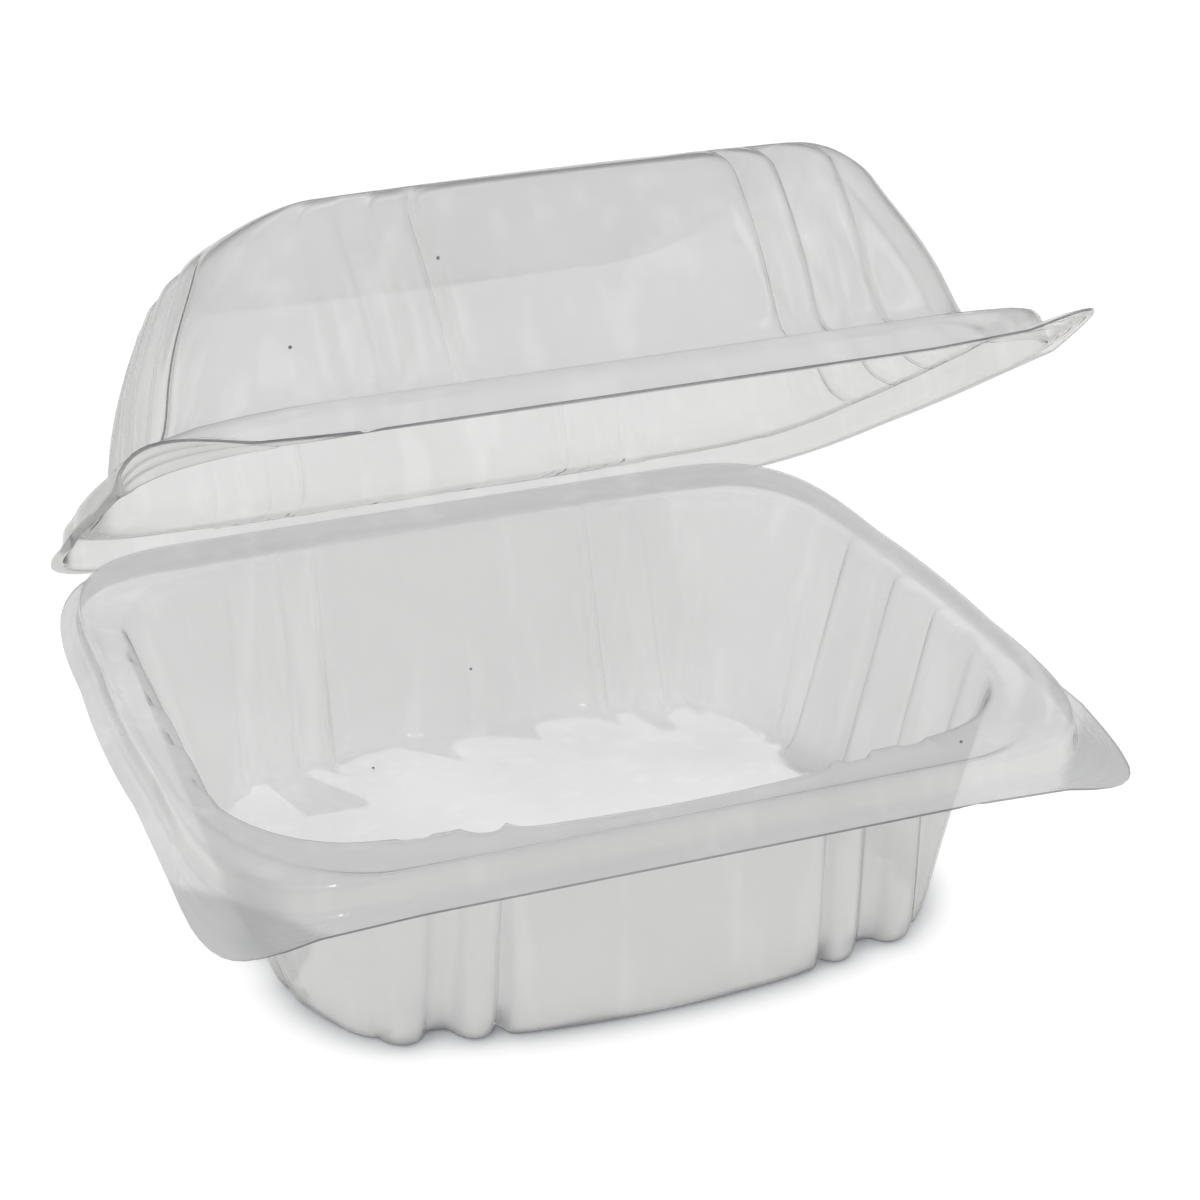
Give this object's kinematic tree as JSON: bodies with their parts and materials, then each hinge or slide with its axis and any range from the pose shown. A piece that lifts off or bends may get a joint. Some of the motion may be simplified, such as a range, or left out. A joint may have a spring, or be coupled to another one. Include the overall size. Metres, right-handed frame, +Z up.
{
  "type": "hinged clamshell food pack",
  "caption": "Clear thin-sheet clamshell food pack: fluted square tray and domed lid joined by a fold, with a snap bead and bent corner tabs.",
  "frame": {"origin": "centre of the tray's flat underside, where the pack rests", "axes": "+Z up, -Y towards the front edge with the tabs, +Y towards the fold, +X to the right seen from the front"},
  "size_m": [0.152, 0.1475, 0.1275],
  "materials": {
    "tray_plastic": "clear, gloss",
    "lid_plastic": "clear, gloss"
  },
  "bodies": {
    "tray_body": {"tray": "tray_plastic"},
    "lid_body": {"lid": "lid_plastic"}
  },
  "joints": [
    {"name": "fold_hinge", "type": "hinge", "parent": "tray_body", "child": "lid_body", "pos_m": [0, 0.073, 0.03615], "axis": [-1, 0, 0], "range_deg": [-27.2, 137.8]}
  ]
}
